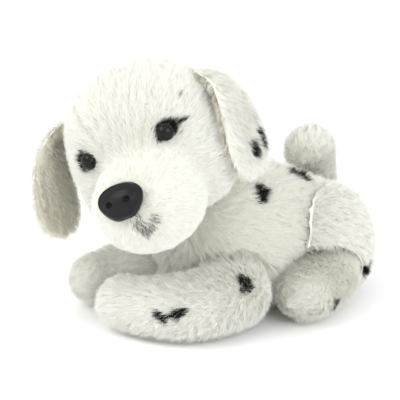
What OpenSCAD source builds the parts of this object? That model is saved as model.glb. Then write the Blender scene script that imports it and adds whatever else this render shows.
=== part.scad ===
// Plush puppy lying down, its head turned and tilted. Sewn covers of short-pile plush fabric
// are filled with polyester fibre. The eyes and the nose are moulded and held by washers.
// Millimetres. The puppy faces -Y, its left side is +X, and it lies on the plane Z = 0.

/* [Torso] */
// Length of the torso from chest to rump
torso_len = 168; // [158:1:178]
// Width of the torso
torso_w = 116; // [108:1:124]
// Height of the back over the shoulders
torso_h = 124; // [116:1:130]

/* [Head] */
// Width of the skull, cheek to cheek
head_w = 118; // [110:1:124]
// Height of the skull
head_h = 118; // [110:1:122]
// Length of the skull, brow to nape
head_len = 102; // [96:1:108]
// Height of the middle of the skull above the floor
head_z = 146; // [143:1:156]
// Width of the muzzle
muzzle_w = 80; // [72:1:86]
// Height of the muzzle
muzzle_h = 73; // [66:1:76]
// Length of the muzzle from inside the skull to its tip
muzzle_len = 98; // [92:1:104]

/* [Ears] */
// Length of an ear from its seam to its tip
ear_len = 80; // [80:1:94]
// Width of an ear at its widest
ear_w = 50; // [44:1:54]

/* [Legs and tail] */
// Thickness of a foreleg at the elbow
foreleg_d = 56; // [52:1:58]
// Thickness of a fore paw
paw_d = 43; // [39:1:46]
// Thickness of a haunch, side to side
haunch_w = 68; // [62:1:74]
// Height of a haunch
haunch_h = 100; // [94:1:104]
// Length of a haunch
haunch_len = 92; // [86:1:98]
// Width of a hind foot
foot_d = 48; // [44:1:50]
// Thickness of the tail
tail_d = 44; // [40:1:48]

/* [Eyes and nose] */
// Diameter of an eye
eye_d = 12; // [10:0.5:14]
// Width of the nose
nose_w = 31; // [27:1:34]
// Height of the nose
nose_h = 25; // [22:1:28]

/* [Fabric] */
// Thickness of the plush fabric, backing and pile together
cover_t = 7; // [6:0.5:7.5]
// Gap between sewn pieces
seam_gap = 0.3; // [0.2:0.05:0.4]
// Gap where a sewn joint turns
turn_gap = 0.8; // [0.7:0.1:1.0]

/* [Hidden] */
mid = [0, 30, 0];                     // moves the middle of the whole puppy over the origin
sides = 18;                              // points round a large form
limb_sides = 16;                         // points round a limb or an ear
far = 300;                               // reach of a cutting block
chest_y = -torso_len * 0.37;
rump_y = chest_y + torso_len;

nape = [0.064 * torso_w, chest_y - 27, head_z];   // middle of the skull, on the neck's axis
head_turn = 31;
head_nod = -7.5;
head_tilt = 24;
neck_lean = 40;
neck_turn = 10.5;
neck_d = 46;
neck_in = 20;                            // how far the neck reaches into the head
neck_out = 16;                           // how far the neck reaches into the torso
head_r = max(head_w, head_h) / 2;
skull_at = [0, 1, -4];                   // middle of the skull's egg from the nape point
skull = [head_w, head_len, head_h];
muzzle_at = [0, -0.365 * head_len, -0.357 * head_h];
muzzle = [muzzle_w, muzzle_len, muzzle_h];
gusset_w = 30;                           // width of the forehead gusset level with the eyes
gusset_flare = 0.5;                      // how fast it widens upwards on each side

lift = 0.6;                              // how far a resting limb clears the floor
elbow_left = [0.39 * torso_w, chest_y + 23, foreleg_d / 2 + lift];
elbow_right = [-0.36 * torso_w, chest_y + 24, foreleg_d / 2 + lift];
knee = [0.52 * torso_w, rump_y - 62, foot_d / 2 + lift];
foot_swing = 20;                         // outward swing of a hind foot
tail_root = [0, rump_y - 14, 0.63 * torso_h];
tail_swing = 18;                         // wag to each side

eye_x = 0.255 * head_w;
eye_z = -2.7;
eye_sink = 3;                            // how deep an eye's rim sits in the pile
post_d = 4;
post_end = cover_t + 5;                  // length of a post behind the pile's surface
washer_t = 1.6;
eye_washer_d = eye_d + 3;
eye_dip = 1.4;
nose_washer_d = 0.5 * nose_w;
nose_dip = 2.2;
nose_z = 7;                              // height of the nose above the muzzle's middle
nose_sink = 3.5;
ear_root = [0.45 * head_w, 0, 0.235 * head_h];
ear_edge = 4.5;                          // half thickness of an ear
ear_twist = 30;
ear_hang = 16;                           // the right ear hangs plumb, clear of the tilted head

// ---- skins over rings ---------------------------------------------------------------
// A closed skin over rings of points; every ring has the same number of points.
module skin(rings) {
    n = len(rings[0]);
    m = len(rings);
    polyhedron(
        points = [for (r = rings) each r],
        faces = concat(
            [[for (k = [n - 1:-1:0]) k]],
            [[for (k = [0:n - 1]) (m - 1) * n + k]],
            [for (i = [0:m - 2], k = [0:n - 1])
                [i * n + k, i * n + (k + 1) % n, (i + 1) * n + k]],
            [for (i = [0:m - 2], k = [0:n - 1])
                [(i + 1) * n + k, i * n + (k + 1) % n, (i + 1) * n + (k + 1) % n]]
        )
    );
}

// An egg along Y about its own middle, with g added all round. Its lower half is squared off
// by low and its upper half by top (1 is round), it narrows upwards by pear, and it is cut flat
// at the height base.
function powered(c, e) = sign(c) * pow(abs(c), e);
module egg(size, g = 0, pear = 0, low = 1, base = -far, top = 1, steps = 11, n = sides) {
    h = size / 2 + [g, g, g];
    skin([for (i = [0:steps])
        let (t = -90 + 180 * (i + 0.35) / (steps + 0.7))
            [for (k = [0:n - 1])
                let (a = 360 * k / n, e = sin(a) < 0 ? low : top,
                    x = h[0] * cos(t) * powered(cos(a), e) * (1 - pear * sin(a)),
                    z = h[2] * cos(t) * powered(sin(a), e))
                    [x, h[1] * sin(t), max(z, base)]]]);
}

// Smooth curve through guide values, with a number of steps to each span.
function guide(v, i) = v[max(0, min(len(v) - 1, i))];
function between(p, t) = 0.5 * (2 * p[1] + (p[2] - p[0]) * t
    + (2 * p[0] - 5 * p[1] + 4 * p[2] - p[3]) * t * t
    + (3 * p[1] - p[0] - 3 * p[2] + p[3]) * t * t * t);
function curve(v, steps) = [for (i = [0:(len(v) - 1) * steps])
    let (s = min(floor(i / steps), len(v) - 2), t = i / steps - s)
        between([guide(v, s - 1), v[s], v[s + 1], guide(v, s + 2)], t)];

function unit(v) = v / norm(v);
function heading(path, i) = unit(guide(path, i + 1) - guide(path, i - 1));

// Ring of a tube at the point c, square to the direction d and rolled so that v points up.
function tube_ring(c, d, w, h, up) =
    let (u = unit(cross(d, up)), v = cross(u, d))
        [for (k = [0:limb_sides - 1]) let (a = 360 * k / limb_sides)
            c + u * w * cos(a) + v * h * sin(a)];

// A stuffed tube with round ends, from its middle line and its half widths and half heights.
cap = [78, 52, 26];
module tube(line, wide, high, g = 0, up = [0, 0, 1], steps = 2) {
    p = curve(line, steps);
    w = curve(wide, steps);
    h = curve(high, steps);
    m = len(p) - 1;
    d0 = heading(p, 0);
    d1 = heading(p, m);
    skin(concat(
        [for (a = cap) tube_ring(p[0] - d0 * (w[0] + g) * sin(a), d0,
            (w[0] + g) * cos(a), (h[0] + g) * cos(a), up)],
        [for (i = [0:m]) tube_ring(p[i], heading(p, i), w[i] + g, h[i] + g, up)],
        [for (i = [2:-1:0]) tube_ring(p[m] + d1 * (w[m] + g) * sin(cap[i]), d1,
            (w[m] + g) * cos(cap[i]), (h[m] + g) * cos(cap[i]), up)]
    ));
}

module mirrored(side) {
    mirror([side < 0 ? 1 : 0, 0, 0]) children();
}

// ---- head -----------------------------------------------------------------------------
module at_head() {
    translate(nape) rotate([0, 0, head_turn]) rotate([head_nod, 0, 0])
        rotate([0, -head_tilt, 0]) children();
}

module skull_form(g = 0) {
    at_head() translate(skull_at) egg(skull, g, 0.03, 0.62, top = 0.88);
}

module muzzle_form(g = 0) {
    at_head() translate(muzzle_at) egg(muzzle, g);
}

module head_form(g = 0) {
    difference() {
        union() {
            skull_form(g);
            muzzle_form(g);
        }
        neck(turn_gap - g);
    }
}

// The neck is round about the axis that the head turns on.
module neck(g = 0) {
    translate(nape) rotate([0, 0, neck_turn]) rotate([neck_lean, 0, 0])
        translate([0, 0, -head_r - neck_out])
            cylinder(d = neck_d + 2 * g, h = neck_out + neck_in + g, $fn = 36);
}

// Room for the head to turn in front of the shoulders.
module head_room(g = 0) {
    translate(nape) sphere(r = head_r + 3 + g, $fn = 48);
}

// The forehead gusset's share of the head: it widens upwards and ends in a point at the back.
module gusset_block(g = 0) {
    w = gusset_w / 2 + g;
    at_head() rotate([90, 0, 0]) linear_extrude(height = far, center = true)
        polygon([[0, -w / gusset_flare],
            [w + gusset_flare * far, far],
            [-w - gusset_flare * far, far]]);
}

module half_block(side, g = 0) {
    translate([side > 0 ? g : -far - g, -far / 2, -far / 2]) cube(far);
}

// Point on the front of an egg at x and z, and the direction square to it there.
function egg_y(size, x, z) = -size[1] / 2 * sqrt(1 - pow(2 * x / size[0], 2) - pow(2 * z / size[2], 2));
function egg_out(size, p) = unit([p[0] / pow(size[0], 2), p[1] / pow(size[1], 2), p[2] / pow(size[2], 2)]);
eye_egg = [eye_x, egg_y(skull, eye_x, eye_z - skull_at[2]), eye_z - skull_at[2]];
nose_egg = [0, egg_y(muzzle, 0, nose_z), nose_z];

module facing(d) {
    rotate([0, acos(d[2]), atan2(d[1], d[0])]) children();
}

module at_eye(side) {
    at_head() mirrored(side) translate(skull_at + eye_egg) facing(egg_out(skull, eye_egg)) children();
}

module at_nose() {
    at_head() translate(muzzle_at + nose_egg) facing(egg_out(muzzle, nose_egg))
        rotate([0, 0, 90]) children();
}

// An eye: a dome on a disc, with a post through the cover.
eye_r = eye_d / 2;
module eye_form(g = 0) {
    rotate_extrude($fn = 24) polygon(concat(
        [[0, -post_end - g], [post_d / 2 + g, -post_end - g], [post_d / 2 + g, -eye_sink - g]],
        [[eye_r + g, -eye_sink - g]],
        [for (a = [0:18:72]) [(eye_r + g) * cos(a), -eye_sink + 1 + (eye_r * 0.8 + g) * sin(a)]],
        [[0, -eye_sink + 1 + eye_r * 0.8 + g]]));
}

// A washer on its post behind the cover; dip is how far the cover curves away over its width.
module washer(d, dip) {
    translate([0, 0, -cover_t - dip - washer_t]) difference() {
        cylinder(d = d, h = washer_t, $fn = 24);
        translate([0, 0, -1]) cylinder(d = post_d + 2 * seam_gap, h = washer_t + 2, $fn = 24);
    }
}

module washer_room(d, dip) {
    translate([0, 0, -cover_t - dip - washer_t - seam_gap])
        cylinder(d = d + 2 * seam_gap, h = washer_t + dip + seam_gap + 3, $fn = 24);
}

// The nose: a rounded triangle, wide above, swelling forward, with a post behind it.
nose_n = 20;
function nose_ring(s, z, g) = [for (k = [0:nose_n - 1])
    let (a = -360 * k / nose_n, r = 1 + 0.10 * sin(a) - 0.07 * sin(3 * a))
        [(s * nose_w / 2 + g) * r * cos(a), (s * nose_h / 2 + g) * r * sin(a), z]];
module nose_form(g = 0) {
    skin([nose_ring(0.90, -nose_sink - g, g), nose_ring(1.0, -nose_sink + 2, g),
        nose_ring(1.0, 1.5, g), nose_ring(0.9, 4.2 + g, g), nose_ring(0.66, 6.2 + g, g),
        nose_ring(0.3, 7.2 + g, g)]);
    translate([0, 0, -post_end - 1 - g]) cylinder(d = post_d + 2 * g, h = post_end, $fn = 24);
}

// ---- torso and limbs --------------------------------------------------------------------
// Share of the torso's length, middle height, half width and half height at each station.
torso_guide = [
    [0.00, 0.50, 0.10, 0.12],
    [0.04, 0.49, 0.28, 0.35],
    [0.15, 0.47, 0.43, 0.51],
    [0.35, 0.45, 0.49, 0.54],
    [0.55, 0.41, 0.50, 0.51],
    [0.75, 0.38, 0.47, 0.47],
    [0.90, 0.36, 0.38, 0.38],
    [0.98, 0.36, 0.22, 0.23],
    [1.00, 0.36, 0.09, 0.09]];

module torso_form(g = 0) {
    skin([for (s = curve(torso_guide, 2))
        let (y = chest_y + torso_len * s[0] + g * (2 * s[0] - 1),
            w = s[2] * torso_w + g, h = s[3] * torso_h + g)
            [for (k = [0:sides - 1]) let (a = 360 * k / sides)
                [w * cos(a) * (1 - 0.1 * sin(a)), y, max(-g, s[1] * torso_h + h * sin(a))]]]);
}

foreleg_left_dir = [-2, -31, -2];
foreleg_right_dir = [-11, -20, -3];
function resting(line) = [for (p = line) p[2] - lift];

module foreleg_left_form(g = 0) {
    d = foreleg_d / 2;
    p = paw_d / 2;
    line = [elbow_left, elbow_left + foreleg_left_dir, elbow_left + [-19, -48, 0.6 * (p - d)],
        elbow_left + [-39, -57, p - d], elbow_left + [-51, -60, p - d]];
    tube(line, [d, d - 1, d - 0.45 * (d - p), p, p], resting(line), g);
}

module foreleg_right_form(g = 0) {
    d = foreleg_d / 2;
    p = paw_d / 2;
    line = [elbow_right, elbow_right + foreleg_right_dir, elbow_right + [-17, -37, p - d],
        elbow_right + [-18, -45, p - d]];
    tube(line, [d, d - 0.5 * (d - p), p, p], resting(line), g);
}

// A hind foot.
foot_dir = [5, -18, -1];
module foot_form(side, g = 0) {
    d = foot_d / 2;
    mirrored(side) tube([knee, knee + foot_dir, knee + [9, -34, -2]], [d, d, d], [d, d - 1, d - 2], g);
}

module haunch_form(side, g = 0) {
    h = haunch_h / 2 - 6;
    mirrored(side) translate([0.38 * torso_w, rump_y - 51, h]) rotate([0, 0, 4])
        egg([haunch_w, haunch_len, haunch_h], g, 0.14, 1, -h - g);
}

tail_dir = [0, -2, 12];
tail_root_d = 0.78 * tail_d;
module tail_form(g = 0) {
    d = tail_d / 2;
    r = [tail_root_d / 2, 0.8 * d, 1.02 * d];
    tube([tail_root, tail_root + tail_dir, tail_root + [-1, -7, 24]], r, r, g, [0, 1, 0]);
}

// A ball socket round the root of a limb, open along d and widening to let the limb swing.
step = 0.4;                              // keeps the socket's throat just outside its ball
module socket(p, d, r, g, swing) {
    translate(p) sphere(r = r + g, $fn = 48);
    translate(p) facing(unit(d))
        cylinder(r1 = r + g + step, r2 = r + g + step + 60 * tan(swing), h = 60, $fn = 48);
}

module foot_room(side, g) {
    mirrored(side) translate(knee) rotate([0, 0, foot_swing / 2])
        socket([0, 0, 0], foot_dir, foot_d / 2, g, foot_swing / 2);
}

// Everything that the torso makes room for, with the gap g round it.
module body_room(g) {
    head_room(g);
    socket(elbow_left, foreleg_left_dir, foreleg_d / 2, g, 0);
    socket(elbow_right, foreleg_right_dir, foreleg_d / 2, g, 0);
    foot_room(1, g);
    foot_room(-1, g);
    socket(tail_root, tail_dir, tail_root_d / 2, g, 2.4 * tail_swing);
}

module body_form(g = 0) {
    difference() {
        torso_form(g);
        body_room(turn_gap - g);
    }
    neck(g);
}

module belly_block(g = 0) {
    translate([0, chest_y + 0.46 * torso_len, -g]) linear_extrude(height = cover_t + 2 * g)
        scale([0.25 * torso_w + g, 0.30 * torso_len + g]) circle(r = 1, $fn = 36);
}

module body_side(side) {
    difference() {
        body_form();
        body_form(-cover_t);
        belly_block(seam_gap);
        half_block(-side, -seam_gap / 2);
    }
}

// ---- ears -------------------------------------------------------------------------------
// Share of the ear's length, share of its half width, and how far it stands out from the seam.
ear_guide = [
    [-0.050, 0.46, 0.0, 0.38],
    [-0.025, 0.53, 0.0, 0.87],
    [0.00, 0.57, 0.3, 0.97],
    [0.06, 0.66, 5.8, 1],
    [0.13, 0.76, 10.2, 1],
    [0.24, 0.88, 13.2, 1],
    [0.38, 0.97, 14.4, 1],
    [0.55, 1.00, 14.2, 1],
    [0.72, 0.97, 13.2, 1],
    [0.86, 0.84, 12, 1],
    [0.95, 0.60, 11, 0.85],
    [1.00, 0.27, 10.5, 0.45]];

// A layer of an ear, flat at one depth and rounded out to the other, twisted towards its tip.
module ear_layer(flat, round, twist) {
    way = sign(round - flat);
    skin([for (s = ear_guide)
        let (a = s[1] * ear_w / 2, q = -twist * max(0, s[0]))
            [for (k = [0:limb_sides - 1])
                let (t = 90 - 90 * way - 360 * k / limb_sides, v = a * cos(t),
                    u = flat + s[3] * (round - flat) * sqrt(max(0, way * sin(t))))
                    [s[2] + u * cos(q) - v * sin(q), u * sin(q) + v * cos(q), -s[0] * ear_len]]]);
}

module at_ear(side) {
    at_head() mirrored(side) translate(ear_root) rotate([0, side > 0 ? 0 : -ear_hang, 0]) children();
}

module ear_slot(side) {
    at_ear(side) rotate([90, 0, 0])
        cylinder(r = ear_edge + seam_gap, h = 0.6 * ear_w + 2 * turn_gap, center = true, $fn = 24);
}

// ---- pieces -----------------------------------------------------------------------------
plush = [0.93, 0.93, 0.89];
lining = [0.90, 0.84, 0.78];
fibre = [0.97, 0.97, 0.97];
gloss = [0.04, 0.04, 0.05];
clear = [0.85, 0.86, 0.88];

module body_side_left() {
    color(plush) translate(mid) body_side(1);
}

module body_side_right() {
    color(plush) translate(mid) body_side(-1);
}

module belly_panel() {
    color(plush) translate(mid) belly_block();
}

module torso_stuffing() {
    color(fibre) translate(mid) body_form(-cover_t - seam_gap);
}

// The head's shell without the muzzle's share of it, and without what is let into it.
module head_shell() {
    difference() {
        head_form();
        head_form(-cover_t);
        muzzle_form(seam_gap);
        ear_slot(1);
        ear_slot(-1);
    }
}

module head_gusset() {
    color(plush) translate(mid) intersection() {
        head_shell();
        gusset_block(-seam_gap / 2);
    }
}

module head_side(side) {
    difference() {
        head_shell();
        gusset_block(seam_gap / 2);
        at_head() half_block(-side, -seam_gap / 2);
        at_eye(side) eye_form(seam_gap);
    }
}

module head_side_left() {
    color(plush) translate(mid) head_side(1);
}

module head_side_right() {
    color(plush) translate(mid) head_side(-1);
}

module muzzle_cover() {
    color(plush) translate(mid) difference() {
        muzzle_form();
        muzzle_form(-cover_t);
        skull_form(-cover_t);
        at_nose() nose_form(seam_gap);
    }
}

module head_stuffing() {
    color(fibre) translate(mid) difference() {
        head_form(-cover_t - seam_gap);
        at_eye(1) eye_form(seam_gap);
        at_eye(1) washer_room(eye_washer_d, eye_dip);
        at_eye(-1) eye_form(seam_gap);
        at_eye(-1) washer_room(eye_washer_d, eye_dip);
        at_nose() nose_form(seam_gap);
        at_nose() washer_room(nose_washer_d, nose_dip);
    }
}

module ear_left_outer() {
    color(plush) translate(mid) at_ear(1) ear_layer(seam_gap, ear_edge, ear_twist);
}

module ear_left_inner() {
    color(lining) translate(mid) at_ear(1) ear_layer(-seam_gap, -ear_edge, ear_twist);
}

module ear_right_outer() {
    color(plush) translate(mid) at_ear(-1) ear_layer(seam_gap, ear_edge, -ear_twist);
}

module ear_right_inner() {
    color(lining) translate(mid) at_ear(-1) ear_layer(-seam_gap, -ear_edge, -ear_twist);
}

module foreleg_left_cover() {
    color(plush) translate(mid) difference() {
        foreleg_left_form();
        foreleg_left_form(-cover_t);
    }
}

module foreleg_left_stuffing() {
    color(fibre) translate(mid) foreleg_left_form(-cover_t - seam_gap);
}

module foreleg_right_cover() {
    color(plush) translate(mid) difference() {
        foreleg_right_form();
        foreleg_right_form(-cover_t);
    }
}

module foreleg_right_stuffing() {
    color(fibre) translate(mid) foreleg_right_form(-cover_t - seam_gap);
}

// A haunch lies against the torso and makes room for the foot; its cover is open to the torso.
module haunch_body(side, g = 0) {
    difference() {
        haunch_form(side, g);
        foot_room(side, turn_gap - g);
    }
}

module haunch_cover(side) {
    difference() {
        haunch_body(side);
        haunch_body(side, -cover_t);
        torso_form(seam_gap);
    }
}

module haunch_stuffing(side) {
    difference() {
        haunch_body(side, -cover_t - seam_gap);
        torso_form(seam_gap);
    }
}

module haunch_left_cover() {
    color(plush) translate(mid) haunch_cover(1);
}

module haunch_left_stuffing() {
    color(fibre) translate(mid) haunch_stuffing(1);
}

module haunch_right_cover() {
    color(plush) translate(mid) haunch_cover(-1);
}

module haunch_right_stuffing() {
    color(fibre) translate(mid) haunch_stuffing(-1);
}

module foot_cover(side) {
    difference() {
        foot_form(side);
        foot_form(side, -cover_t);
    }
}

module foot_left_cover() {
    color(plush) translate(mid) foot_cover(1);
}

module foot_left_stuffing() {
    color(fibre) translate(mid) foot_form(1, -cover_t - seam_gap);
}

module foot_right_cover() {
    color(plush) translate(mid) foot_cover(-1);
}

module foot_right_stuffing() {
    color(fibre) translate(mid) foot_form(-1, -cover_t - seam_gap);
}

module tail_cover() {
    color(plush) translate(mid) difference() {
        tail_form();
        tail_form(-cover_t);
    }
}

module tail_stuffing() {
    color(fibre) translate(mid) tail_form(-cover_t - seam_gap);
}

module eye_left() {
    color(gloss) translate(mid) at_eye(1) eye_form();
}

module eye_right() {
    color(gloss) translate(mid) at_eye(-1) eye_form();
}

module eye_washer_left() {
    color(clear) translate(mid) at_eye(1) washer(eye_washer_d, eye_dip);
}

module eye_washer_right() {
    color(clear) translate(mid) at_eye(-1) washer(eye_washer_d, eye_dip);
}

module nose() {
    color(gloss) translate(mid) at_nose() nose_form();
}

module nose_washer() {
    color(clear) translate(mid) at_nose() washer(nose_washer_d, nose_dip);
}

body_side_left();
body_side_right();
belly_panel();
torso_stuffing();
head_gusset();
head_side_left();
head_side_right();
muzzle_cover();
head_stuffing();
ear_left_outer();
ear_left_inner();
ear_right_outer();
ear_right_inner();
foreleg_left_cover();
foreleg_left_stuffing();
foreleg_right_cover();
foreleg_right_stuffing();
haunch_left_cover();
haunch_left_stuffing();
haunch_right_cover();
haunch_right_stuffing();
foot_left_cover();
foot_left_stuffing();
foot_right_cover();
foot_right_stuffing();
tail_cover();
tail_stuffing();
eye_left();
eye_right();
eye_washer_left();
eye_washer_right();
nose();
nose_washer();
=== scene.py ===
import bpy
import numpy as np
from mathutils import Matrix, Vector


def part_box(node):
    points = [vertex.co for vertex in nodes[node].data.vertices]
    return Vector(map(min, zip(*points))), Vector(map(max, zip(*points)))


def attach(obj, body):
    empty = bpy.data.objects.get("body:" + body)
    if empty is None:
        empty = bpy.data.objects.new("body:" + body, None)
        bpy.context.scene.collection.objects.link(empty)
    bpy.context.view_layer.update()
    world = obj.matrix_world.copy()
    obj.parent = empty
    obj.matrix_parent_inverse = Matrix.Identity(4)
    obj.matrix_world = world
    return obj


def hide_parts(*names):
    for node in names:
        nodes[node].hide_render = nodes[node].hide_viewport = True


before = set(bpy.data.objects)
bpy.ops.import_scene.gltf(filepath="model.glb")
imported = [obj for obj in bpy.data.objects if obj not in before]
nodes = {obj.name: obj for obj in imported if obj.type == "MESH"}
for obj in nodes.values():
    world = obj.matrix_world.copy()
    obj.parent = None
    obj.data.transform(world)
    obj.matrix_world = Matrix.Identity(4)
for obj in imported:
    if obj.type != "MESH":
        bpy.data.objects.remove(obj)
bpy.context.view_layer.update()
mm = 0.001
print("frame loaded,", len(nodes), "nodes")


def unit(rows):
    # every row divided by its own length
    return rows / np.maximum(np.linalg.norm(rows, axis=-1, keepdims=True), 1e-9)


def smoothStep(low, high, value):
    # 0 below low, 1 above high, and 3t^2 - 2t^3 between
    t = np.clip((value - low) / (high - low), 0, 1)
    return t * t * (3 - 2 * t)


def turn(axis, degrees):
    # rotation matrix about one of the axes 0, 1 or 2
    c, s = np.cos(np.radians(degrees)), np.sin(np.radians(degrees))
    m = np.eye(3)
    a, b = [(1, 2), (2, 0), (0, 1)][axis]
    m[a, a], m[a, b], m[b, a], m[b, b] = c, -s, s, c
    return m


def ripple(points, size, seed):
    # soft noise from -1 to 1: the sum of six sine waves in random directions, about size long
    rng = np.random.default_rng(seed)
    waves = unit(rng.normal(size=(6, 3))) * (2 * np.pi / size) * rng.uniform(0.7, 1.4, (6, 1))
    return np.sin(points @ waves.T + rng.uniform(0, 6.28, 6)).sum(1) / 3.2


# the head's own axes: x to its left, y to its back, z to its crown, in millimetres from the nape point
headPose = {"turn": 31, "nod": -7.5, "tilt": -24, "nape": (7.424, -59.16, 146.0)}
headAxes = turn(2, headPose["turn"]) @ turn(0, headPose["nod"]) @ turn(1, headPose["tilt"])


def toHead(points):
    return (points / mm - np.array(headPose["nape"])) @ headAxes


def fromHead(local):
    return (np.asarray(local, float) @ headAxes.T + np.array(headPose["nape"])) * mm


def meshObject(name, points, faces, smooth=True):
    # one mesh from an array of points and an array of triangles or quads
    mesh = bpy.data.meshes.new(name)
    mesh.vertices.add(len(points))
    mesh.vertices.foreach_set("co", np.ascontiguousarray(points, np.float32).ravel())
    mesh.loops.add(faces.size)
    mesh.loops.foreach_set("vertex_index", np.ascontiguousarray(faces, np.int32).ravel())
    mesh.polygons.add(len(faces))
    mesh.polygons.foreach_set("loop_start", np.arange(len(faces), dtype=np.int32) * faces.shape[1])
    mesh.polygons.foreach_set("use_smooth", np.full(len(faces), smooth))
    mesh.update(calc_edges=True)
    obj = bpy.data.objects.new(name, mesh)
    bpy.context.scene.collection.objects.link(obj)
    return obj


def readPoints(mesh):
    flat = np.empty(len(mesh.vertices) * 3, np.float32)
    mesh.vertices.foreach_get("co", flat)
    return flat.reshape(-1, 3).astype(float)


def readNormals(mesh):
    flat = np.empty(len(mesh.vertices) * 3, np.float32)
    mesh.vertex_normals.foreach_get("vector", flat)
    return flat.reshape(-1, 3).astype(float)


def readTriangles(mesh):
    mesh.calc_loop_triangles()
    flat = np.empty(len(mesh.loop_triangles) * 3, np.int32)
    mesh.loop_triangles.foreach_get("vertices", flat)
    return flat.reshape(-1, 3)


def readEdges(mesh):
    flat = np.empty(len(mesh.edges) * 2, np.int32)
    mesh.edges.foreach_get("vertices", flat)
    return flat.reshape(-1, 2)


def applied(obj):
    # the mesh with its modifiers carried out
    graph = bpy.context.evaluated_depsgraph_get()
    return bpy.data.meshes.new_from_object(obj.evaluated_get(graph))


def outerShell(mesh):
    # each point takes the lowest number among its neighbours until nothing changes, which numbers
    # the separate shells; the shell with the widest box is kept
    points, edges = readPoints(mesh), readEdges(mesh)
    label = np.arange(len(points))
    while True:
        low = np.minimum(label[edges[:, 0]], label[edges[:, 1]])
        fresh = label.copy()
        np.minimum.at(fresh, edges[:, 0], low)
        np.minimum.at(fresh, edges[:, 1], low)
        fresh = fresh[fresh]
        if (fresh == label).all():
            break
        label = fresh
    shells = np.unique(label)
    spans = [np.ptp(points[label == s], axis=0).sum() for s in shells]
    keep = label == shells[int(np.argmax(spans))]
    quads = np.empty(len(mesh.loops), np.int32)
    mesh.loops.foreach_get("vertex_index", quads)
    quads = quads.reshape(-1, 4)
    quads = quads[keep[quads[:, 0]]]
    place = np.cumsum(keep) - 1
    return points[keep], place[quads]


# every stuffed form: its cloth and filling, the way its pile is combed, the pile's length in
# millimetres and strands to the square millimetre, how much off-white it carries, how full it is
softForms = {
    "torso": {"covers": ["body_side_left", "body_side_right", "belly_panel"], "core": ["torso_stuffing"],
              "body": "torso", "comb": (0.0, 1.0, -0.45), "length": 8.6, "density": 2.6,
                      "tone": (0.14, 0.38), "fill": 0.8},
    "haunchLeft": {"covers": ["haunch_left_cover"], "core": ["haunch_left_stuffing"],
                   "body": "torso", "comb": (0.1, 0.75, -0.65), "length": 8.6, "density": 2.9,
                           "tone": (0.06, 0.30), "fill": 0.8},
    "haunchRight": {"covers": ["haunch_right_cover"], "core": ["haunch_right_stuffing"],
                    "body": "torso", "comb": (-0.1, 0.75, -0.65), "length": 8.6, "density": 2.2,
                            "tone": (0.06, 0.30), "fill": 0.8},
    "head": {"covers": ["head_gusset", "head_side_left", "head_side_right", "muzzle_cover"],
            "core": ["head_stuffing"],
             "body": "head", "comb": None, "length": 7.6, "density": 3.3, "tone": (0.00, 0.20),
                     "fill": 0.9},
    "earLeft": {"covers": ["ear_left_outer", "ear_left_inner"], "core": [],
                "body": "ear_left", "comb": (0.15, 0.1, -1.0), "length": 7.0, "density": 3.0,
                        "tone": (0.00, 0.22), "fill": 0.4},
    "earRight": {"covers": ["ear_right_outer", "ear_right_inner"], "core": [],
                 "body": "ear_right", "comb": (0.0, 0.0, -1.0), "length": 7.0, "density": 3.0,
                         "tone": (0.00, 0.22), "fill": 0.4},
    "forelegLeft": {"covers": ["foreleg_left_cover"], "core": ["foreleg_left_stuffing"],
                    "body": "foreleg_left", "comb": (-0.75, -0.6, -0.25), "length": 8.2, "density": 3.2,
                            "tone": (0.00, 0.24), "fill": 0.8},
    "forelegRight": {"covers": ["foreleg_right_cover"], "core": ["foreleg_right_stuffing"],
                     "body": "foreleg_right", "comb": (-0.2, -0.95, -0.2), "length": 8.2,
                             "density": 2.8, "tone": (0.00, 0.24), "fill": 0.8},
    "footLeft": {"covers": ["foot_left_cover"], "core": ["foot_left_stuffing"],
                 "body": "foot_left", "comb": (0.25, -0.95, -0.1), "length": 7.6, "density": 3.0,
                         "tone": (0.04, 0.28), "fill": 0.8},
    "footRight": {"covers": ["foot_right_cover"], "core": ["foot_right_stuffing"],
                  "body": "foot_right", "comb": (-0.25, -0.95, -0.1), "length": 7.6, "density": 2.4,
                          "tone": (0.04, 0.28), "fill": 0.8},
    "tail": {"covers": ["tail_cover"], "core": ["tail_stuffing"],
             "body": "tail", "comb": (0.0, 0.1, 1.0), "length": 8.4, "density": 3.0,
                     "tone": (0.00, 0.24), "fill": 0.8},
}
padding = {"voxel": 4.2, "pressure": 4.0, "frames": 16, "cap": 2.6, "inset": 4.6}  # millimetres


def formOf(name, form):
    # the covers and the filling as one lump, eased to an even net of quads
    blocks, faces, count = [], [], 0
    for node in form["covers"] + form["core"]:
        mesh = nodes[node].data
        blocks.append(readPoints(mesh))
        faces.append(readTriangles(mesh) + count)
        count += len(blocks[-1])
    lump = meshObject(name + "Lump", np.vstack(blocks), np.vstack(faces))
    weld = lump.modifiers.new("weld", "WELD")
    weld.merge_threshold = 0.00001
    net = lump.modifiers.new("net", "REMESH")
    net.mode = "VOXEL"
    net.voxel_size = padding["voxel"] * mm * (0.72 if name.startswith("ear") else 1)
    ease = lump.modifiers.new("ease", "SMOOTH")
    ease.factor = 0.5
    ease.iterations = 4
    points, quads = outerShell(applied(lump))
    bpy.data.objects.remove(lump)
    return points, quads


def nearest(points, others):
    # distance from each point to the nearest of the others, |a|^2 + |b|^2 - 2ab, in blocks of rows
    best = np.full(len(points), 1.0)
    square = (others ** 2).sum(1)
    for start in range(0, len(points), 400):
        block = points[start:start + 400]
        gap = (block ** 2).sum(1)[:, None] + square[None, :] - 2 * block @ others.T
        best[start:start + 400] = np.sqrt(np.maximum(gap.min(1), 0))
    return best


skull = {"at": (0, 1, -4), "half": (59.0, 51.0, 59.0), "low": 0.62, "top": 0.88}
muzzle = {"at": (0, -37.2, -42.1), "half": (40.0, 49.0, 36.5)}
gusset = {"half": 15.0, "flare": 0.5}


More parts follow.
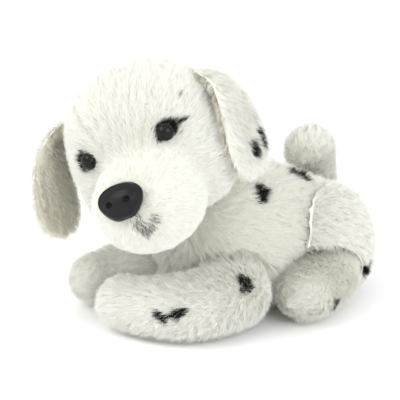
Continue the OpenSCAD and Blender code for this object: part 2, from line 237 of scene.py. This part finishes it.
def overSkull(local):
    # how far a point lies outside the skull's squared egg, as a share of its size
    p = (local - np.array(skull["at"])) / np.array(skull["half"])
    e = np.where(p[:, 2] < 0, skull["low"], skull["top"])
    ring = (np.abs(p[:, 0]) ** (2 / e) + np.abs(p[:, 2]) ** (2 / e)) ** (e / 2)
    return np.hypot(ring, p[:, 1]) - 1


def overMuzzle(local):
    return np.linalg.norm((local - np.array(muzzle["at"])) / np.array(muzzle["half"]), axis=1) - 1


def seamsOf(name, points):
    # 1 on a seam and fading to 0 within about 3 mm of it
    if name == "head":
        local = toHead(points)
        side = np.abs(np.abs(local[:, 0]) - gusset["half"] - gusset["flare"] * local[:, 2]) / 1.12
        off = overMuzzle(local)
        side = np.where((local[:, 2] > -30) & (off > 0.02), side, 30)
        edge = np.abs(off) * 38 + np.abs(overSkull(local)) * 52
        return np.maximum(np.exp(-(side / 2.0) ** 2), 0.8 * np.exp(-(edge / 3.4) ** 2))
    if name == "torso":
        return 0.7 * np.exp(-(points[:, 0] / mm / 2.2) ** 2)
    return np.zeros(len(points))


rest = {name: formOf(name, form) for name, form in softForms.items()}
print("nets made:", {name: len(p) for name, (p, q) in rest.items()})

# millimetres from the ground, a sewn neighbour and a hinged neighbour over which the pile gets free
clearance = {"ground": (0.4, 5.0), "sewn": (1.0, 4.5), "hinged": (2.4, 6.5)}
# room is how free the pile is to stand, from 0 against a neighbour or the ground to 1
room, seam = {}, {}
for name, (points, quads) in rest.items():
    room[name] = smoothStep(*clearance["ground"], points[:, 2] / mm)
    for sewn in (True, False):
        near = [p for other, (p, q) in rest.items()
                if other != name and (softForms[other]["body"] == softForms[name]["body"]) == sewn]
        if near:
            gap = nearest(points, np.vstack(near)) / mm
            limits = clearance["sewn"] if sewn else clearance["hinged"]
            room[name] = np.minimum(room[name], smoothStep(*limits, gap))
    seam[name] = seamsOf(name, points)


def padOut():
    # all the forms swell together under pressure as cloth; seams, contacts and the underside are held
    names = list(rest)
    starts = np.cumsum([0] + [len(rest[n][0]) for n in names])
    points = np.vstack([rest[n][0] for n in names])
    quads = np.vstack([rest[n][1] + s for n, s in zip(names, starts)])
    work = meshObject("padWork", points, quads)
    held = work.vertex_groups.new(name="held")
    grip = np.concatenate([np.maximum(1 - room[n], seam[n]) for n in names])
    for level in (0.35, 0.6, 0.85):
        held.add(np.flatnonzero(grip > level).tolist(), level if level < 0.8 else 1.0, "REPLACE")
    cloth = work.modifiers.new("cloth", "CLOTH")
    cloth.settings.quality = 4
    cloth.settings.mass = 0.3
    cloth.settings.use_pressure = True
    cloth.settings.uniform_pressure_force = padding["pressure"]
    cloth.settings.vertex_group_mass = "held"
    cloth.settings.tension_stiffness = 12
    cloth.settings.compression_stiffness = 12
    cloth.settings.bending_stiffness = 0.4
    cloth.settings.effector_weights.gravity = 0
    cloth.collision_settings.use_collision = False
    cloth.point_cache.frame_start = 1
    cloth.point_cache.frame_end = padding["frames"]
    scene = bpy.context.scene
    for step in range(1, padding["frames"] + 1):
        scene.frame_set(step)
    swollen = readPoints(applied(work))
    scene.frame_set(1)
    bpy.data.objects.remove(work)
    move = swollen - points
    far = np.linalg.norm(move, axis=1, keepdims=True)
    move = move * np.minimum(1, padding["cap"] * mm / np.maximum(far, 1e-9))
    print("cloth moved a point by %.2f mm on average, %.2f at most" % (far.mean() / mm, far.max() / mm))
    return {n: points[a:b] + move[a:b] for n, a, b in zip(names, starts[:-1], starts[1:])}


swollen = padOut()
print("padding done")


def toneGroup():
    # colours along a strand: how dark its dye is across, and from the backing to the tip along it, with the
    # roots darker and warmer as painted shade deep in the pile
    group = bpy.data.node_groups.new("pileTone", "ShaderNodeTree")
    for socket, kind in (("Dye", "NodeSocketFloat"), ("Along", "NodeSocketFloat")):
        group.interface.new_socket(socket, in_out="INPUT", socket_type=kind)
    group.interface.new_socket("Colour", in_out="OUTPUT", socket_type="NodeSocketColor")
    put, link = group.nodes, group.links
    inward, outward = put.new("NodeGroupInput"), put.new("NodeGroupOutput")
    tips, shadedRoots = put.new("ShaderNodeValToRGB"), put.new("ShaderNodeValToRGB")
    blend, rootShadeFade = put.new("ShaderNodeMix"), put.new("ShaderNodeMapRange")
    for ramp, stops in ((tips, pileTonesWithRootShade["tip"]), (shadedRoots, pileTonesWithRootShade["root"])):
        ramp.color_ramp.interpolation = "LINEAR"
        for end, (place, colour) in zip(ramp.color_ramp.elements, (stops[0], stops[-1])):
            end.position, end.color = place, (*colour, 1)
        for place, colour in stops[1:-1]:
            ramp.color_ramp.elements.new(place).color = (*colour, 1)
        link.new(inward.outputs["Dye"], ramp.inputs["Fac"])
    blend.data_type = "RGBA"
    # the darker root colour gives way to the tip colour along the strand: painted shade deep in the pile
    rootShadeFade.inputs["From Min"].default_value, rootShadeFade.inputs["From Max"].default_value = 0.05, 0.75
    link.new(inward.outputs["Along"], rootShadeFade.inputs["Value"])
    link.new(rootShadeFade.outputs["Result"], blend.inputs["Factor"])
    link.new(shadedRoots.outputs["Color"], blend.inputs["A"])
    link.new(tips.outputs["Color"], blend.inputs["B"])
    link.new(blend.outputs["Result"], outward.inputs["Colour"])
    return group


# across: 0 to 0.4 white, 0.45 to 0.6 ear lining, 0.65 to 0.75 brown smudge, 0.8 to 1 black
pileTonesWithRootShade = {
    "tip": [(0.0, (0.945, 0.95, 0.925)), (0.40, (0.925, 0.92, 0.86)),
            (0.46, (0.88, 0.87, 0.80)), (0.60, (0.84, 0.82, 0.73)),
            (0.66, (0.30, 0.25, 0.23)), (0.75, (0.20, 0.165, 0.155)),
            (0.80, (0.012, 0.011, 0.011)), (1.0, (0.024, 0.022, 0.022))],
    # root colours: the same dyes darker and warmer, painted shade deep in the pile and in creases
    "root": [(0.0, (0.915, 0.91, 0.86)), (0.40, (0.885, 0.87, 0.79)),
             (0.46, (0.84, 0.82, 0.73)), (0.60, (0.80, 0.77, 0.67)),
             (0.66, (0.27, 0.22, 0.20)), (0.75, (0.17, 0.14, 0.13)),
             (0.80, (0.010, 0.009, 0.009)), (1.0, (0.018, 0.016, 0.016))],
}
tones = toneGroup()


def plainMaterial(name, colour, roughness, coat=0.0, sheen=0.0):
    material = bpy.data.materials.new(name)
    material.use_nodes = True
    shader = material.node_tree.nodes["Principled BSDF"]
    shader.inputs["Base Color"].default_value = (*colour, 1)
    shader.inputs["Roughness"].default_value = roughness
    shader.inputs["Coat Weight"].default_value = coat
    shader.inputs["Sheen Weight"].default_value = sheen
    return material


def pileMaterial():
    # matt strands that let part of the light through
    material = plainMaterial("plushPile", (0.9, 0.9, 0.86), 0.9)
    put, link = material.node_tree.nodes, material.node_tree.links
    uv, parts, tone = put.new("ShaderNodeUVMap"), put.new("ShaderNodeSeparateXYZ"), put.new("ShaderNodeGroup")
    through, both = put.new("ShaderNodeBsdfTranslucent"), put.new("ShaderNodeMixShader")
    both.inputs["Fac"].default_value = 0.42
    uv.uv_map = "OFBake"
    tone.node_tree = tones
    link.new(uv.outputs["UV"], parts.inputs["Vector"])
    link.new(parts.outputs["X"], tone.inputs["Dye"])
    link.new(parts.outputs["Y"], tone.inputs["Along"])
    link.new(tone.outputs["Colour"], put["Principled BSDF"].inputs["Base Color"])
    link.new(tone.outputs["Colour"], through.inputs["Color"])
    link.new(put["Principled BSDF"].outputs["BSDF"], both.inputs[1])
    link.new(through.outputs["BSDF"], both.inputs[2])
    link.new(both.outputs["Shader"], put["Material Output"].inputs["Surface"])
    put["Principled BSDF"].inputs["Specular IOR Level"].default_value = 0.2
    return material


pileLook = pileMaterial()
# the backing fabric, tinted warmer and darker than the pile tips as painted crease shade where it shows
# between strands
backingAndCreaseShadeLook = plainMaterial("plushBackingAndCreaseShade", (0.90, 0.885, 0.82), 0.9)
fillLook = plainMaterial("fibreFill", (0.93, 0.93, 0.92), 0.9)
washerLook = plainMaterial("washerPlastic", (0.8, 0.81, 0.83), 0.4)

# spots of dyed pile: middle in millimetres, the way the surface faces, the long way, half sizes
spots = [
    {"on": "earLeft", "at": (74.2, -19.5, 145.6), "face": (0.92, 0.19, 0.33), "along": (0.1, 0.0, 1.0),
         "half": (6.2, 3.9)},
    {"on": "earLeft", "at": (72.0, -7.0, 150.5), "face": (0.80, 0.55, 0.25), "along": (0.1, 0.1, 1.0),
         "half": (7.5, 2.4)},
    {"on": "head", "at": (22.0, -30.0, 203.0), "face": (0.1, 0.3, 0.95), "along": (0.6, 0.75, 0.0),
         "half": (8.5, 3.4)},
    {"on": "head", "at": (48.9, -65.4, 180.9), "face": (0.75, -0.4, 0.5), "along": (0.5, 0.2, 0.8),
         "half": (1.6, 1.1)},
    {"on": "torso", "at": (41.1, 19.2, 97.4), "face": (0.88, -0.06, 0.47), "along": (-0.3, 0.35, 0.9),
         "half": (7.0, 5.8)},
    {"on": "torso", "at": (31.5, 68.0, 100.5), "face": (0.67, 0.17, 0.72), "along": (0.40, 0.85, -0.35),
         "half": (11.0, 4.4)},
    {"on": "torso", "at": (-38.0, 52.0, 96.0), "face": (-0.8, 0.1, 0.6), "along": (0.2, 0.8, -0.3),
         "half": (7.5, 5.0)},
    {"on": "torso", "at": (-47.0, 6.0, 72.0), "face": (-0.95, 0.0, 0.2), "along": (0.0, 0.3, 0.9),
         "half": (6.0, 4.4)},
    {"on": "forelegLeft", "at": (67.7, -15.6, 43.7), "face": (0.83, -0.07, 0.55),
         "along": (0, 0.5, 0.8), "half": (6.4, 5.8)},
    {"on": "forelegLeft", "at": (51.5, -67.0, 30.0), "face": (0.53, -0.83, 0.18),
         "along": (0.8, 0.55, 0.35), "half": (7.0, 2.8)},
    {"on": "forelegLeft", "at": (45.0, -75.0, 27.0), "face": (0.53, -0.83, 0.18),
         "along": (0.75, 0.4, -0.5), "half": (5.4, 3.0)},
    {"on": "footLeft", "at": (88.3, 56.7, 16.1), "face": (0.95, 0.25, -0.21), "along": (0.0, 0.3, 1.0),
         "half": (5.6, 3.2)},
    {"on": "haunchLeft", "at": (74.3, 102.2, 28.5), "face": (0.96, 0.27, -0.03),
         "along": (0.0, 0.2, 1.0), "half": (6.2, 3.4)},
    {"on": "haunchRight", "at": (-74.0, 96.0, 46.0), "face": (-0.9, 0.3, 0.3), "along": (0.0, 0.6, 0.8),
         "half": (7.0, 4.6)},
]


def inSpot(points, spot, wobble=0.0):
    # inside an ellipse laid on the surface: (a/A)^2 + (b/B)^2 < 1, a little uneven at its edge
    face = unit(np.array(spot["face"], float))
    along = np.array(spot["along"], float)
    along = unit(along - face * (along @ face))
    across = np.cross(face, along)
    d = points / mm - np.array(spot["at"])
    reach = (d @ along / spot["half"][0]) ** 2 + (d @ across / spot["half"][1]) ** 2
    return (reach < 1 + wobble) & (np.abs(d @ face) < 12)


def dyeOf(name, root, normal, rng):
    # place across the tone ramps for every strand: mostly white, then lining, spots, eye patches and smudge
    low, high = softForms[name]["tone"]
    dye = rng.uniform(low, high, len(root))
    if name.startswith("ear"):
        inner = normal @ liningSide[name] > 0.15
        dye = np.where(inner, rng.uniform(0.47, 0.59, len(root)), dye)
    wobble = 0.25 * ripple(root, 4 * mm, 31) + rng.uniform(-0.12, 0.12, len(root))
    black = np.zeros(len(root), bool)
    for spot in spots:
        if spot["on"] == name:
            black |= inSpot(root, spot, wobble)
    if name == "head":
        for patch in facePatches:
            black |= inSpot(root, patch, wobble)
        for lobe in smudge:
            brown = inSpot(root, lobe, wobble * 2) & (rng.random(len(root)) < lobe["share"])
            dye = np.where(brown, rng.uniform(0.66, 0.75, len(root)), dye)
    return np.where(black, rng.uniform(0.83, 0.99, len(root)), dye)


# black pile round the eyes: an almond about each bead, a tail towards the crown and a drop towards the nose
facePatches = [
    {"at": (51.5, -79.5, 160.5), "face": (0.76, -0.56, 0.33), "along": (0.55, 0.70, 0.30),
         "half": (8.6, 6.6)},
    {"at": (55.2, -70.5, 165.3), "face": (0.80, -0.50, 0.33), "along": (0.40, 0.85, 0.35),
         "half": (4.6, 1.5)},
    {"at": (51.3, -84.5, 155.5), "face": (0.76, -0.56, 0.20), "along": (-0.1, -0.35, -0.9),
         "half": (4.2, 2.6)},
    {"at": (5.2, -106.5, 135.6), "face": (0.1, -0.99, -0.05), "along": (0.55, 0.0, -0.85),
         "half": (7.8, 5.8)},
]
# the faint brown of the mouth: two soft lobes and a thread below them, each with its share of brown strands
smudge = [
    {"at": (75.0, -122.0, 110.5), "face": (0.78, -0.53, -0.33), "along": (0.2, 0.3, -0.9),
         "half": (6.0, 3.6), "share": 0.5},
    {"at": (78.5, -114.5, 109.5), "face": (0.80, -0.50, -0.33), "along": (-0.1, -0.2, -0.9),
         "half": (6.2, 3.4), "share": 0.5},
    {"at": (76.0, -117.5, 103.0), "face": (0.75, -0.50, -0.43), "along": (0.2, 0.4, -0.9),
         "half": (4.2, 2.6), "share": 0.6},
]
# the way from an ear's outer layer to its lining
middle = {node: np.array(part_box(node)).mean(0) for node in nodes}
liningSide = {"earLeft": unit(middle["ear_left_inner"] - middle["ear_left_outer"]),
              "earRight": unit(middle["ear_right_inner"] - middle["ear_right_outer"])}


def surfaceOf(obj):
    mesh = applied(obj)
    data = {"points": readPoints(mesh), "normals": readNormals(mesh), "triangles": readTriangles(mesh)}
    for field in ("room", "seam"):
        values = np.empty(len(mesh.vertices), np.float32)
        mesh.attributes[field].data.foreach_get("value", values)
        data[field] = values.astype(float)
    bpy.data.meshes.remove(mesh)
    return data


def combing(name, root, normal, form):
    # the way the pile lies: the comb direction, less its part along the normal
    if name == "head":
        local = toHead(root)
        away = local - np.array([0.0, -88.0, -30.0])
        away = away * np.array([1.0, 0.55, 1.0]) + np.array([0, 14.0, 8.0])
        comb = unit(away) @ headAxes.T
    else:
        comb = np.tile(unit(np.array(form["comb"], float)), (len(root), 1))
    return unit(comb - normal * (comb * normal).sum(1, keepdims=True))


strand = {"width": 0.36, "lean": 40, "droop": 66, "tuft": 6.0}


def growPile(name, form, skin, seed):
    # a strand is a narrow leaf on three stations: root, 0.5 and 1 of its length L. Its middle line starts
    # at the skin, rises along normal*cos(lean) + lay*sin(lean), then bends over to the droop angle
    surface = surfaceOf(skin)
    corner = surface["points"][surface["triangles"]]
    area = np.linalg.norm(np.cross(corner[:, 1] - corner[:, 0], corner[:, 2] - corner[:, 0]), axis=1) / 2
    free = surface["room"][surface["triangles"]].mean(1)
    facing = surface["normals"][surface["triangles"]].mean(1)
    underneath = (facing[:, 2] < -0.75) & (corner[:, :, 2].mean(1) < 0.02)
    weight = area * (0.7 + 0.3 * smoothStep(0.0, 0.2, free)) * np.where(underneath, 0.4, 1)
    rng = np.random.default_rng(seed)
    count = int(weight.sum() / mm ** 2 * form["density"] * (1))
    pick = np.searchsorted(np.cumsum(weight) / weight.sum(), rng.random(count))
    pick = np.minimum(pick, len(weight) - 1)
    a, b = rng.random(count), rng.random(count)
    a, b = np.where(a + b > 1, 1 - a, a), np.where(a + b > 1, 1 - b, b)
    mix = np.stack([1 - a - b, a, b], 1)
    tri = surface["triangles"][pick]
    root = (surface["points"][tri] * mix[:, :, None]).sum(1)
    normal = unit((surface["normals"][tri] * mix[:, :, None]).sum(1))
    free = (surface["room"][tri] * mix).sum(1)
    sewn = (surface["seam"][tri] * mix).sum(1)
    lay = combing(name, root, normal, form)
    tuft = np.stack([ripple(root, strand["tuft"] * mm, seed + k) for k in (1, 2, 3)], 1)
    wild = 0.35 if name == "head" else 0.55
    lay = unit(lay + wild * tuft + 0.2 * rng.normal(size=(count, 3)))
    lay = unit(lay - normal * (lay * normal).sum(1, keepdims=True))
    length = form["length"] * mm * (0.9 + 0.1 * free) * (1 - 0.6 * sewn) * rng.uniform(0.85, 1.1, count)
    length *= 1 + 0.08 * ripple(root, 11 * mm, seed + 4)
    if name == "head":
        local = toHead(root)
        length *= 1 - 0.30 * smoothStep(0.25, -0.1, overMuzzle(local)) * smoothStep(-10, -40, local[:, 1])
    lean = np.radians(strand["lean"] + rng.normal(0, 7, count) + 5 * ripple(root, 9 * mm, seed + 5))
    droop = lean + np.radians(strand["droop"] - strand["lean"] + rng.normal(0, 8, count))
    # the pile stands up beside a neighbour
    lean, droop = lean * (0.3 + 0.7 * free), droop * (0.4 + 0.6 * free)
    first = normal * np.cos(lean)[:, None] + lay * np.sin(lean)[:, None]
    second = normal * np.cos(droop)[:, None] + lay * np.sin(droop)[:, None]
    mid = root + first * (0.5 * length)[:, None]
    tip = mid + second * (0.5 * length)[:, None]
    base, root = root, root - normal * 0.4 * mm
    aside = unit(np.cross(normal, lay) + 0.35 * rng.normal(size=(count, 3)))
    half = strand["width"] * mm / 2 * rng.uniform(0.75, 1.2, count)
    wide = aside * half[:, None]
    stations = np.stack([root - wide, root + wide, mid + 0.8 * wide, mid - 0.8 * wide, tip], 1)
    stations[:, :, 2] = np.maximum(stations[:, :, 2], 0.3 * mm)
    dye = dyeOf(name, base, normal, rng)
    made = []
    parts = int(np.ceil(count / 60000))
    for part, rows in enumerate(np.array_split(np.arange(count), parts)):
        made.append(leafMesh("%sPile%d" % (name, part + 1), stations[rows], dye[rows]))
    return made, count


def leafMesh(name, stations, dye):
    # each strand is one quad from its root to its middle and one triangle to its tip
    n = len(stations)
    base = np.arange(n)[:, None] * 5
    loops = np.concatenate([base + np.array([0, 1, 2, 3]), base + np.array([3, 2, 4])], 1)
    mesh = bpy.data.meshes.new(name)
    mesh.vertices.add(n * 5)
    mesh.vertices.foreach_set("co", stations.reshape(-1).astype(np.float32))
    mesh.loops.add(n * 7)
    mesh.loops.foreach_set("vertex_index", loops.reshape(-1).astype(np.int32))
    mesh.polygons.add(n * 2)
    starts = (np.arange(n)[:, None] * 7 + np.array([0, 4])).reshape(-1)
    mesh.polygons.foreach_set("loop_start", starts.astype(np.int32))
    mesh.polygons.foreach_set("use_smooth", np.ones(n * 2, bool))
    across = dye[:, None] + np.array([-1, 1, 1, -1, -1, 1, 0]) * 0.006
    along = np.tile(np.array([0.02, 0.02, 0.5, 0.5, 0.5, 0.5, 0.98]), (n, 1))
    mesh.update(calc_edges=True)
    layer = mesh.uv_layers.new(name="OFBake")
    layer.data.foreach_set("uv", np.stack([across, along], 2).reshape(-1).astype(np.float32))
    obj = bpy.data.objects.new(name, mesh)
    bpy.context.scene.collection.objects.link(obj)
    mesh.materials.append(pileLook)
    return obj


total = 0
for number, (name, form) in enumerate(softForms.items()):
    quads = rest[name][1]
    skin = meshObject(name + "Plush", swollen[name], quads)
    normals = readNormals(skin.data)
    inset = padding["inset"] * mm * (0.75 + 0.25 * room[name]) + 1.2 * mm * seam[name]
    inset = inset * (0.55 if name.startswith("ear") else 1)
    points = swollen[name] - normals * inset[:, None]
    points[:, 2] = np.maximum(points[:, 2], np.minimum(rest[name][0][:, 2], 0.9 * mm))
    skin.data.vertices.foreach_set("co", points.astype(np.float32).ravel())
    for field, values in (("room", room[name]), ("seam", seam[name])):
        skin.data.attributes.new(field, "FLOAT",
                "POINT").data.foreach_set("value", values.astype(np.float32))
    skin.data.materials.append(backingAndCreaseShadeLook)
    skin.data.update()
    crown = skin.modifiers.new("rounding", "SUBSURF")
    crown.levels = crown.render_levels = 1
    made, count = growPile(name, form, skin, 100 + 17 * number)
    total += count
    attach(skin, form["body"])
    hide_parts(*form["covers"])
    for piece in made:
        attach(piece, form["body"])
print("pile grown:", total, "strands")

for node, obj in nodes.items():
    look = fillLook if "stuffing" in node else washerLook if "washer" in node else None
    if look:
        obj.data.materials.clear()
        obj.data.materials.append(look)

glossLook = plainMaterial("polishedBlack", (0.012, 0.011, 0.011), 0.12)
glossLook.node_tree.nodes["Principled BSDF"].inputs["Specular IOR Level"].default_value = 0.15
noseLook = plainMaterial("mouldedNose", (0.014, 0.014, 0.015), 0.30)
noseLook.node_tree.nodes["Principled BSDF"].inputs["Specular IOR Level"].default_value = 0.12


def headFrame(at, out):
    # origin and axes of a moulded piece on the head, in metres: right, up and outwards as columns
    out = unit(np.array(out, float))
    right = unit(np.cross([0.0, 0.0, 1.0], out))
    return fromHead(at), headAxes @ np.stack([right, np.cross(out, right), out], 1)


def ringFaces(rings, around):
    # quads between the rings of a grid that closes on itself
    r, k = np.meshgrid(np.arange(rings - 1), np.arange(around), indexing="ij")
    n = (k + 1) % around
    corners = [r * around + k, r * around + n, (r + 1) * around + n, (r + 1) * around + k]
    return np.stack(corners, -1).reshape(-1, 4)


def lathed(name, place, axes, profile, around):
    # a surface of revolution: every profile point (radius, height) carried round the outward axis
    a = np.linspace(0, 2 * np.pi, around, endpoint=False)
    radius, height = np.array(profile, float).T[:, :, None]
    local = np.stack([radius * np.cos(a), radius * np.sin(a), height + 0 * a], -1).reshape(-1, 3) * mm
    return meshObject(name, place + local @ axes.T, ringFaces(len(profile), around))


eyeBead = {"at": (30.09, -42.8545, -2.7), "out": (0.456127, -0.889696, 0.0197064), "radius": 6.0,
        "dome": 4.8, "sink": 3.0, "post": 2.0, "back": -12.0}


def eyeProfile():
    # from the crown of the dome, a quarter ellipse, down to the rim, in to the post and along it
    t = np.linspace(0.02, np.pi / 2, 20)
    dome = np.stack([eyeBead["radius"] * np.sin(t), 1 - eyeBead["sink"] + eyeBead["dome"] * np.cos(t)], 1)
    behind = [(eyeBead["radius"], -eyeBead["sink"]), (eyeBead["post"], -eyeBead["sink"]),
              (eyeBead["post"], eyeBead["back"]), (0.05, eyeBead["back"])]
    return np.vstack([dome, behind])


for name, side in (("eyeLeft", 1), ("eyeRight", -1)):
    mirrored = np.array([side, 1, 1])
    place, axes = headFrame(np.array(eyeBead["at"]) * mirrored, np.array(eyeBead["out"]) * mirrored)
    bead = lathed(name + "Bead", place, axes, eyeProfile(), 48)
    bead.data.materials.append(glossLook)
    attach(bead, "head")
    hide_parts("eye_left" if side > 0 else "eye_right")

noseShape = {"at": (0, -85.3205, -35.126), "out": (0, -0.967272, 0.253743), "width": 31.0,
        "height": 25.0, "swell": 7.6, "rim": 0.9,
             "nostril": (6.2, -0.4, 2.0), "sink": 3.5, "rings": 44, "around": 120}


def noseSurface():
    # a polar grid: round it by angle a the outline is 1 + 0.05 sin a + 0.06 sin 3a less a notch below;
    # outwards by share s the height is a dome, 7.6 - 5.6 s^2.4, with a raised rim near the edge, two
    # round dips for the nostrils and a shallow valley below them; then the wall drops to the back
    g = noseShape
    s = np.linspace(0.0, 1.0, g["rings"])[:, None] ** 0.8
    a = np.linspace(0, 2 * np.pi, g["around"], endpoint=False)[None, :]
    outline = 1 + 0.05 * np.sin(a) + 0.06 * np.sin(3 * a) - 0.09 * np.maximum(0, -np.sin(a)) ** 24
    x = s * outline * np.cos(a) * g["width"] / 2
    y = s * outline * np.sin(a) * g["height"] / 2
    z = g["swell"] - 5.6 * s ** 2.4 + g["rim"] * np.exp(-((s - 0.89) / 0.045) ** 2)
    z = z - 1.2 * smoothStep(0.93, 1.0, s) + 0 * a
    px, py, pr = g["nostril"]
    for side in (1, -1):
        reach = ((x - side * px) / pr) ** 2 + ((y - py) / (0.85 * pr)) ** 2
        z = z - 2.6 * np.exp(-reach ** 1.6) + 0.35 * np.exp(-((np.sqrt(reach) - 1.35) / 0.3) ** 2)
    z = z - 0.7 * np.exp(-(x / 3.6) ** 2) * smoothStep(-1.0, -7.0, y)
    wall = [(1.0, 0.3), (0.985, -1.5), (0.9, -g["sink"]), (0.02, -g["sink"])]
    rim = np.stack([x[-1], y[-1]], -1)
    walls = np.stack([np.concatenate([rim * k, np.full((g["around"], 1), h)], 1) for k, h in wall])
    return np.concatenate([np.stack([x, y, z], -1), walls]).reshape(-1, 3)


place, axes = headFrame(noseShape["at"], noseShape["out"])
wallRings = 4
noseCap = meshObject("noseMoulding", place + noseSurface() * mm @ axes.T,
                     ringFaces(noseShape["rings"] + wallRings, noseShape["around"]))
noseCap.data.materials.append(noseLook)
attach(noseCap, "head")
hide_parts("nose")
print("eyes and nose moulded")

# the room: pale floor, white surround, two soft boxes
scene = bpy.context.scene
floorLook = plainMaterial("paleFloor", (0.97, 0.97, 0.97), 0.9)
reach = 3.0
ground = np.array([[-1, -1, 0], [1, -1, 0], [1, 1, 0], [-1, 1, 0]]) * reach
floor = meshObject("floor", ground, np.array([[0, 1, 2, 3]]))
floor.data.materials.append(floorLook)

world = bpy.data.worlds.new("surround")
scene.world = world
world.use_nodes = True
put, link = world.node_tree.nodes, world.node_tree.links
put.clear()
seen, glow = put.new("ShaderNodeBackground"), put.new("ShaderNodeBackground")
mixer, out = put.new("ShaderNodeMixShader"), put.new("ShaderNodeOutputWorld")
path, either = put.new("ShaderNodeLightPath"), put.new("ShaderNodeMath")
third = put.new("ShaderNodeMath")
for adder in (either, third):
    adder.operation = "ADD"
    adder.use_clamp = True
seen.inputs["Color"].default_value = (1, 1, 1, 1)
seen.inputs["Strength"].default_value = 1.0
glow.inputs["Color"].default_value = (0.985, 0.99, 1.0, 1)
glow.inputs["Strength"].default_value = 1.0
link.new(path.outputs["Is Camera Ray"], either.inputs[0])
link.new(path.outputs["Is Glossy Ray"], either.inputs[1])
link.new(either.outputs[0], third.inputs[0])
link.new(path.outputs["Is Transmission Ray"], third.inputs[1])
link.new(third.outputs[0], mixer.inputs["Fac"])
link.new(glow.outputs[0], mixer.inputs[1])
link.new(seen.outputs[0], mixer.inputs[2])
link.new(mixer.outputs[0], out.inputs["Surface"])

lamps = {
    "keyBox": {"at": (-0.15, -1.25, 1.25), "size": 0.9, "power": 12, "colour": (1.0, 0.99, 0.97)},
    "fillBox": {"at": (1.35, -0.2, 0.8), "size": 0.9, "power": 9, "colour": (0.98, 0.99, 1.0)},
}
for name, lamp in lamps.items():
    light = bpy.data.lights.new(name, "AREA")
    light.size, light.energy, light.color = lamp["size"], lamp["power"], lamp["colour"]
    obj = bpy.data.objects.new(name, light)
    scene.collection.objects.link(obj)
    obj.location = lamp["at"]
    obj.rotation_mode = "QUATERNION"
    obj.rotation_quaternion = (Vector((0, 0, 0.08)) - Vector(lamp["at"])).to_track_quat("-Z", "Y")

# the camera: where it looks, from which side, how high and how far
shot = {"aim": (-0.0202, 0.0164, 0.078), "azimuth": 48, "elevation": 17, "distance": 1.1, "lens": 132}
azimuth, elevation = np.radians(shot["azimuth"]), np.radians(shot["elevation"])
back = Vector((np.sin(azimuth) * np.cos(elevation), -np.cos(azimuth) * np.cos(elevation), np.sin(elevation)))
lens = bpy.data.cameras.new("camera")
lens.lens, lens.sensor_width = shot["lens"], 36
lens.clip_start, lens.clip_end = 0.05, 20
camera = bpy.data.objects.new("camera", lens)
scene.collection.objects.link(camera)
camera.location = Vector(shot["aim"]) + back * shot["distance"]
camera.rotation_mode = "QUATERNION"
camera.rotation_quaternion = (-back).to_track_quat("-Z", "Y")
scene.camera = camera
scene.view_settings.view_transform = "Standard"
